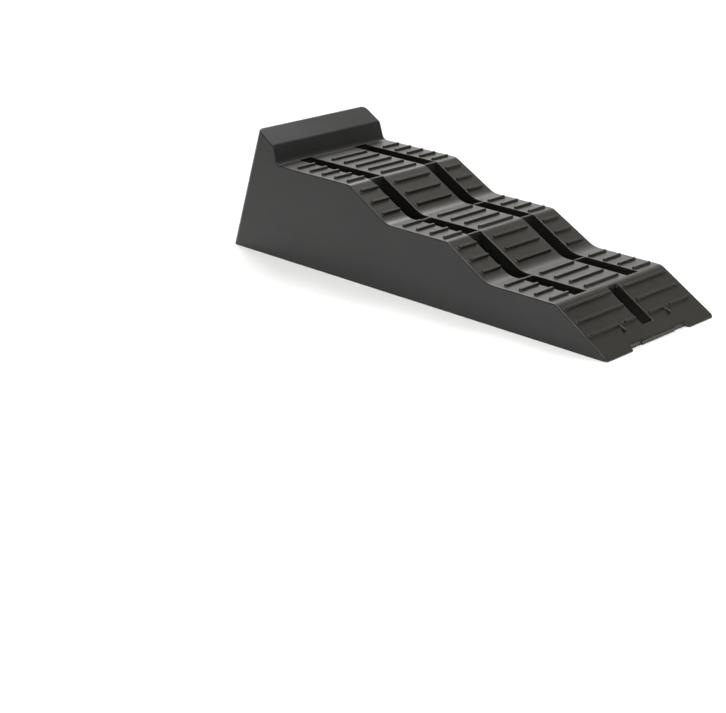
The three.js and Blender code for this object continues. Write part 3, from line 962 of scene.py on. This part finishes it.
@dataclass
class OuterWalls:
    """The side walls, the leaning rear wall with its round corners and hand hole, and the stop they carry."""

    climb: Climb
    outline: Outline
    rear_edge: float = 2.0
    ground_edge: float = 0.5
    hole_edge: float = 0.8
    hole_half: float = 57.5
    hole_height: float = 72.0
    hole_radius: float = 7.0
    post_radius: float = 1.5
    post_spread: float = 66.0  # where the columns of the hole's upright edges meet the stop
    corner_steps: int = 10
    hole_steps: int = 6
    wall_rows: int = 40
    stop_columns: int = 5

    def corner_top(self, angle: Array) -> Array:
        """Works out where a rear corner's wall meets the sloping top of the stop.

        The wall's place at a height is the length less the corner radius and the lean, plus the radius
        times the sine of the angle. The stop's top is a line, so the two give one linear equation.

        Args:
            angle: How far round the corner, from 0 at the side wall to a quarter turn at the rear wall.

        Returns:
            The places along Y.
        """
        (y0, z0), (y1, z1) = self.climb.stop_top
        slope, lean = (z1 - z0) / (y1 - y0), self.climb.rear_lean
        reach = self.climb.length - self.outline.corner * (1 - np.sin(angle))
        return (reach - lean * (z0 - slope * y0)) / (1 + lean * slope)

    def side_end(self) -> float:
        """Where a side wall's top edge ends and the rear corner begins."""
        return float(self.corner_top(np.zeros(1))[0])

    def side_wall(self, side: Side) -> Piece:
        """Builds a side wall.

        Each row goes round the wall at one place along the climb: the round edge at the top, down the
        outside, round the foot, up the inside and under the plate's edge. Towards the rear the foot runs
        ahead, so that the last row leans with the rear wall.

        Args:
            side: The side it is on.

        Returns:
            The piece.
        """
        outline = self.outline
        y = self.climb.stations(outline.tip, self.side_end())
        y = np.unique(np.concatenate([y, np.linspace(y[0], y[-1], self.wall_rows)]))
        rim = outline.side_rim(y, side)
        crest, foot_end = self.climb.high_crest, self.climb.length - outline.corner
        foot_y = np.interp(y, [y[0], crest, y[-1]], [y[0], crest, foot_end])
        ground = np.stack([np.full_like(y, side.value * outline.half), foot_y, np.zeros_like(y)], -1)
        outward = outline.side_normal(side)
        foot = round_edge(ground, outward, -UP, self.ground_edge, 2)
        inner_ground = ground - ACROSS * side.value * outline.wall
        inner_foot = round_edge(inner_ground, -UP, -outward, self.ground_edge, 2)
        normals = self.climb.normals(y)
        below = outline.side_edge(y, side) - outline.plate * normals
        below[:, 0] = side.value * (outline.half_width(below[:, 2]) - outline.wall)
        ledge = rim[:, 0] - outline.plate * normals
        outside, inside = between(rim[:, -1], foot[:, 0], 3), between(inner_foot[:, -1], below, 2)
        rows = [rim, outside, foot, inner_foot, inside, below[:, None], ledge[:, None]]
        node = f"side_wall_{side.name.lower()}"
        return Piece(f"{node}_skin", [Shell(np.concatenate(rows, 1))], [node], WALL_FINISH)

    def hole_line(self) -> Line:
        """Draws the rear wall's lower edge.

        Returns:
            The line along the ground, up and over the hand hole and down again, from -X to +X.
        """
        ground = self.outline.half - self.outline.corner
        half, top = self.hole_half, self.hole_height
        corners = [[-ground, 0], [-half, 0], [-half, top], [half, top], [half, 0], [ground, 0]]
        radii = [0, self.post_radius, self.hole_radius, self.hole_radius, self.post_radius, 0]
        return rounded_line(np.array(corners), np.array(radii), self.hole_steps)

    def rear_columns(self) -> dict[str, Array]:
        """Sets out the rear wall's columns from the left corner round to the right one.

        Returns:
            By name: the sharp top edge, the lower edge on the outside and its normal in the wall's face,
            the wall's outward normal, its level direction and the radius of the top's round edge.
        """
        climb, outline = self.climb, self.outline
        turn = np.linspace(0, math.pi / 2, self.corner_steps + 1)
        line = self.hole_line()
        left = np.full(len(turn) - 1, -1.0)
        sides = np.concatenate([left, np.sign(line.points[:, 0]), -left])
        angle = np.concatenate([turn[:-1], np.full(len(line.points), math.pi / 2), turn[::-1][1:]])
        top_y = self.corner_top(angle)
        top_z = np.interp(top_y, *climb.stop_top.T)
        centre = outline.half_width(top_z) - outline.corner
        top_x = sides * (centre + outline.corner * np.cos(angle))
        x, z = line.points.T
        straight = slice(len(turn) - 1, len(turn) - 1 + len(x))
        # The columns beside the hole spread over the posts as they go up; those over it stand straight up.
        walked = z - (np.abs(x) - self.hole_half)
        stages = [walked[0], 0, self.hole_height - self.hole_radius]
        spread = np.interp(walked, stages, [centre[straight][0], self.post_spread, self.hole_half])
        over = (np.abs(x) < self.hole_half) & (z > self.hole_height / 2)
        top_x[straight] = np.sign(x) * np.where(over, np.abs(x), spread)
        level = np.stack([sides * np.cos(angle), np.sin(angle), np.zeros_like(angle)], -1)
        rise = climb.rear_lean * np.sin(angle) + outline.draft * np.cos(angle)
        low_x = sides * (outline.half - outline.corner * (1 - np.cos(angle)))
        low_y = climb.length - outline.corner * (1 - np.sin(angle))
        low = np.stack([low_x, low_y, np.zeros_like(angle)], -1)
        low[straight] = np.stack([x, climb.length - climb.rear_lean * z, z], -1)
        low_normal = np.broadcast_to(-UP, low.shape).copy()
        low_normal[straight] = np.stack([-line.normals[:, 0], np.zeros_like(x), -line.normals[:, 1]], -1)
        ease = np.sin(angle) ** 2
        return {
            "top": np.stack([top_x, top_y, top_z], -1),
            "low": low,
            "low_normal": low_normal,
            "outward": unit(level + rise[:, None] * UP),
            "level": level,
            "radius": outline.edge + (self.rear_edge - outline.edge) * ease,
        }

    def rear_rim(self, columns: dict[str, Array]) -> Array:
        """The round edge between the stop's top and the rear wall, from the top outwards."""
        normals, steps = self.climb.normals(columns["top"][:, 1]), self.outline.rim_steps
        return round_edge(columns["top"], normals, columns["outward"], columns["radius"], steps)

    def rear_wall(self) -> Piece:
        """Builds the rear wall.

        Each row goes down the outside, round the lower edge, up the inside and under the stop.

        Returns:
            The piece.
        """
        outline, columns = self.outline, self.rear_columns()
        rim = self.rear_rim(columns)
        grounded = (columns["low_normal"][:, 2] < -0.999) & (columns["low"][:, 2] <= 1)
        edge = np.where(grounded, self.ground_edge, self.hole_edge)
        foot = round_edge(columns["low"], columns["outward"], columns["low_normal"], edge, 3)
        inner_low = columns["low"] - outline.wall * columns["level"]
        inner_foot = round_edge(inner_low, columns["low_normal"], -columns["outward"], self.ground_edge, 2)
        normals = self.climb.normals(columns["top"][:, 1])
        below = columns["top"] - outline.wall * columns["level"]
        below[:, 2] -= outline.plate / normals[:, 2] + outline.wall * -normals[:, 1] / normals[:, 2]
        drop = columns["top"][:, 2] - below[:, 2]
        below[:, 1] += drop * self.climb.rear_lean
        ledge = rim[:, 0] - outline.plate * normals
        outside, inside = between(rim[:, -1], foot[:, 0], 2), between(inner_foot[:, -1], below, 1)
        rows = [rim, outside, foot, inner_foot, inside, below[:, None], ledge[:, None]]
        return Piece("rear_wall_skin", [Shell(np.concatenate(rows, 1))], ["rear_wall"], WALL_FINISH)

    def stop(self) -> Piece:
        """Builds the wheel stop: a bent plate that meets the walls where their round edges start.

        Returns:
            The piece.
        """
        outline = self.outline
        y = self.climb.stations(outline.seams[-1], self.side_end())
        sides = outline.side_rim(y, Side.RIGHT)[:, 0]
        columns = self.rear_columns()
        corner = slice(-2, -self.corner_steps - 2, -1)
        ends = np.concatenate([sides, self.rear_rim(columns)[corner, 0]])
        normals = self.climb.normals(np.concatenate([y, columns["top"][corner, 1]]))
        spread = np.linspace(-1, 1, self.stop_columns)
        top = np.stack([ends * [share, 1, 1] for share in spread], 1)
        under = top[:, ::-1] - outline.plate * normals[:, None]
        shell = Shell(np.concatenate([top, under], 1))
        return Piece("wheel_stop_plate", [shell], ["wheel_stop"], WALL_FINISH)

    def build(self) -> list[Piece]:
        """Builds the four pieces."""
        return [*(self.side_wall(side) for side in Side), self.rear_wall(), self.stop()]


# ---- Inside ----


@dataclass
class Inside:
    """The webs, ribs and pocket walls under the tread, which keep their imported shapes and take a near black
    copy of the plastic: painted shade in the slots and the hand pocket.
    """

    finish: MouldedPlastic = SHADED_CORE_FINISH
    kinds: tuple[str, ...] = ("web", "rib", "pocket")

    def dress(self) -> None:
        """Gives each packed inner node the near black finish, which paints in the shade of the slots and the
        pocket.
        """
        for name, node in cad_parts.items():
            if any(kind in name for kind in self.kinds):
                self.finish.dress(node)
                LOG.info("%s: dressed", name)


# ---- Studio ----


@dataclass(frozen=True)
class Softbox:
    """A square light that faces the ramp."""

    name: str
    place: tuple[float, float, float]
    size: float
    watts: float

    def build(self) -> None:
        """Adds the light."""
        data = bpy.data.lights.new(self.name, "AREA")
        data.size, data.energy = self.size, self.watts
        light = bpy.data.objects.new(self.name, data)
        light.location = self.place
        light.rotation_euler = (-Vector(self.place)).to_track_quat("-Z", "Y").to_euler()
        bpy.context.scene.collection.objects.link(light)


@dataclass(frozen=True)
class Studio:
    """A pale floor, a white room that is bright behind the ramp, softboxes and a camera above the toe."""

    place: tuple[float, float, float] = (-1.4823, -1.2297, 0.6399)
    heading_deg: float = 46.96
    pitch_deg: float = 21.10
    roll_deg: float = 1.059
    lens_mm: float = 84.56
    sensor_mm: float = 36.0
    far: float = 100.0
    floor_half: float = 30.0
    floor_colour: str = "fdfdfc"
    floor_roughness: float = 0.9
    floor_specular: float = 0.1
    room_colour: tuple[float, float, float, float] = (1.0, 0.985, 0.95, 1.0)
    room_light: tuple[float, float] = (0.28, 0.95)
    bright_end: tuple[float, float, float] = (0.6, 0.78, 0.18)
    fade: tuple[float, float] = (0.3, 1.0)
    softboxes: tuple[Softbox, ...] = (
        Softbox("overhead_softbox", (-0.35, -0.45, 2.3), 0.5, 30.0),
        Softbox("front_softbox", (-1.7, -1.65, 0.45), 0.4, 12.0),
        Softbox("far_softbox", (2.6, 3.0, 4.2), 3.0, 190.0),
    )

    def camera(self) -> None:
        """Adds the camera, turned by its heading from +Y to +X, its pitch down and its roll."""
        data = bpy.data.cameras.new("view_over_the_toe")
        data.sensor_width, data.lens = self.sensor_mm, self.lens_mm
        data.clip_end = self.far
        camera = bpy.data.objects.new("view_over_the_toe", data)
        turn = Matrix.Rotation(-math.radians(self.heading_deg), 4, "Z")
        tilt = Matrix.Rotation(math.radians(90 - self.pitch_deg), 4, "X")
        roll = Matrix.Rotation(math.radians(self.roll_deg), 4, "Z")
        camera.matrix_world = Matrix.Translation(self.place) @ turn @ tilt @ roll
        bpy.context.scene.collection.objects.link(camera)
        bpy.context.scene.camera = camera

    def floor(self) -> None:
        """Adds the floor, at the ramp's foot."""
        mesh = bpy.data.meshes.new("studio_floor")
        corners = self.floor_half * np.array([(-1, -1, 0), (1, -1, 0), (1, 1, 0), (-1, 1, 0)])
        mesh.from_pydata((corners + UP * CAD_BOUNDS[0][2]).tolist(), [], [(0, 1, 2, 3)])
        floor = bpy.data.objects.new("studio_floor", mesh)
        bpy.context.scene.collection.objects.link(floor)
        material = bpy.data.materials.new("white_paper_sweep")
        material.use_nodes = True
        shader = material.node_tree.nodes["Principled BSDF"]
        shader.inputs["Base Color"].default_value = linear(self.floor_colour)
        shader.inputs["Roughness"].default_value = self.floor_roughness
        shader.inputs["Specular IOR Level"].default_value = self.floor_specular
        mesh.materials.append(material)

    def sky(self) -> None:
        """Fills the room with white light.

        Its strength rises smoothly from the first of `room_light` to the second as the cosine between a
        direction and the room's bright end, behind the ramp, goes through `fade`.
        """
        world = bpy.data.worlds.new("white_room")
        world.use_nodes = True
        tree = world.node_tree
        way = add_node(tree, "ShaderNodeTexCoord").outputs["Generated"]
        cosine = {"operation": "DOT_PRODUCT"}
        facing = add_node(tree, "ShaderNodeVectorMath", cosine, in_0=way, in_1=self.bright_end)
        (start, end), (low, high) = self.fade, self.room_light
        ends = {"From_Min": start, "From_Max": end, "To_Min": low, "To_Max": high}
        smooth = {"interpolation_type": "SMOOTHSTEP"}
        light = add_node(tree, "ShaderNodeMapRange", smooth, Value=facing.outputs["Value"], **ends)
        background = tree.nodes["Background"]
        background.inputs["Color"].default_value = self.room_colour
        tree.links.new(light.outputs[0], background.inputs["Strength"])
        bpy.context.scene.world = world

    def build(self) -> None:
        """Sets up the room, shown without a film curve so that white paper stays white."""
        bpy.context.scene.view_settings.view_transform = "Standard"
        self.camera()
        self.floor()
        self.sky()
        for softbox in self.softboxes:
            softbox.build()


def main() -> None:
    """Builds every sub-assembly and the studio round it."""
    logging.basicConfig(level=logging.INFO, format="%(name)s %(message)s")
    Studio().build()
    climb = Climb()
    outline = Outline(climb)
    treads = Treads(climb, outline)
    OuterWalls(climb, outline).build()
    treads.build()
    Toe(climb, outline, treads).build()
    Inside().dress()


if __name__ == "__main__":
    main()
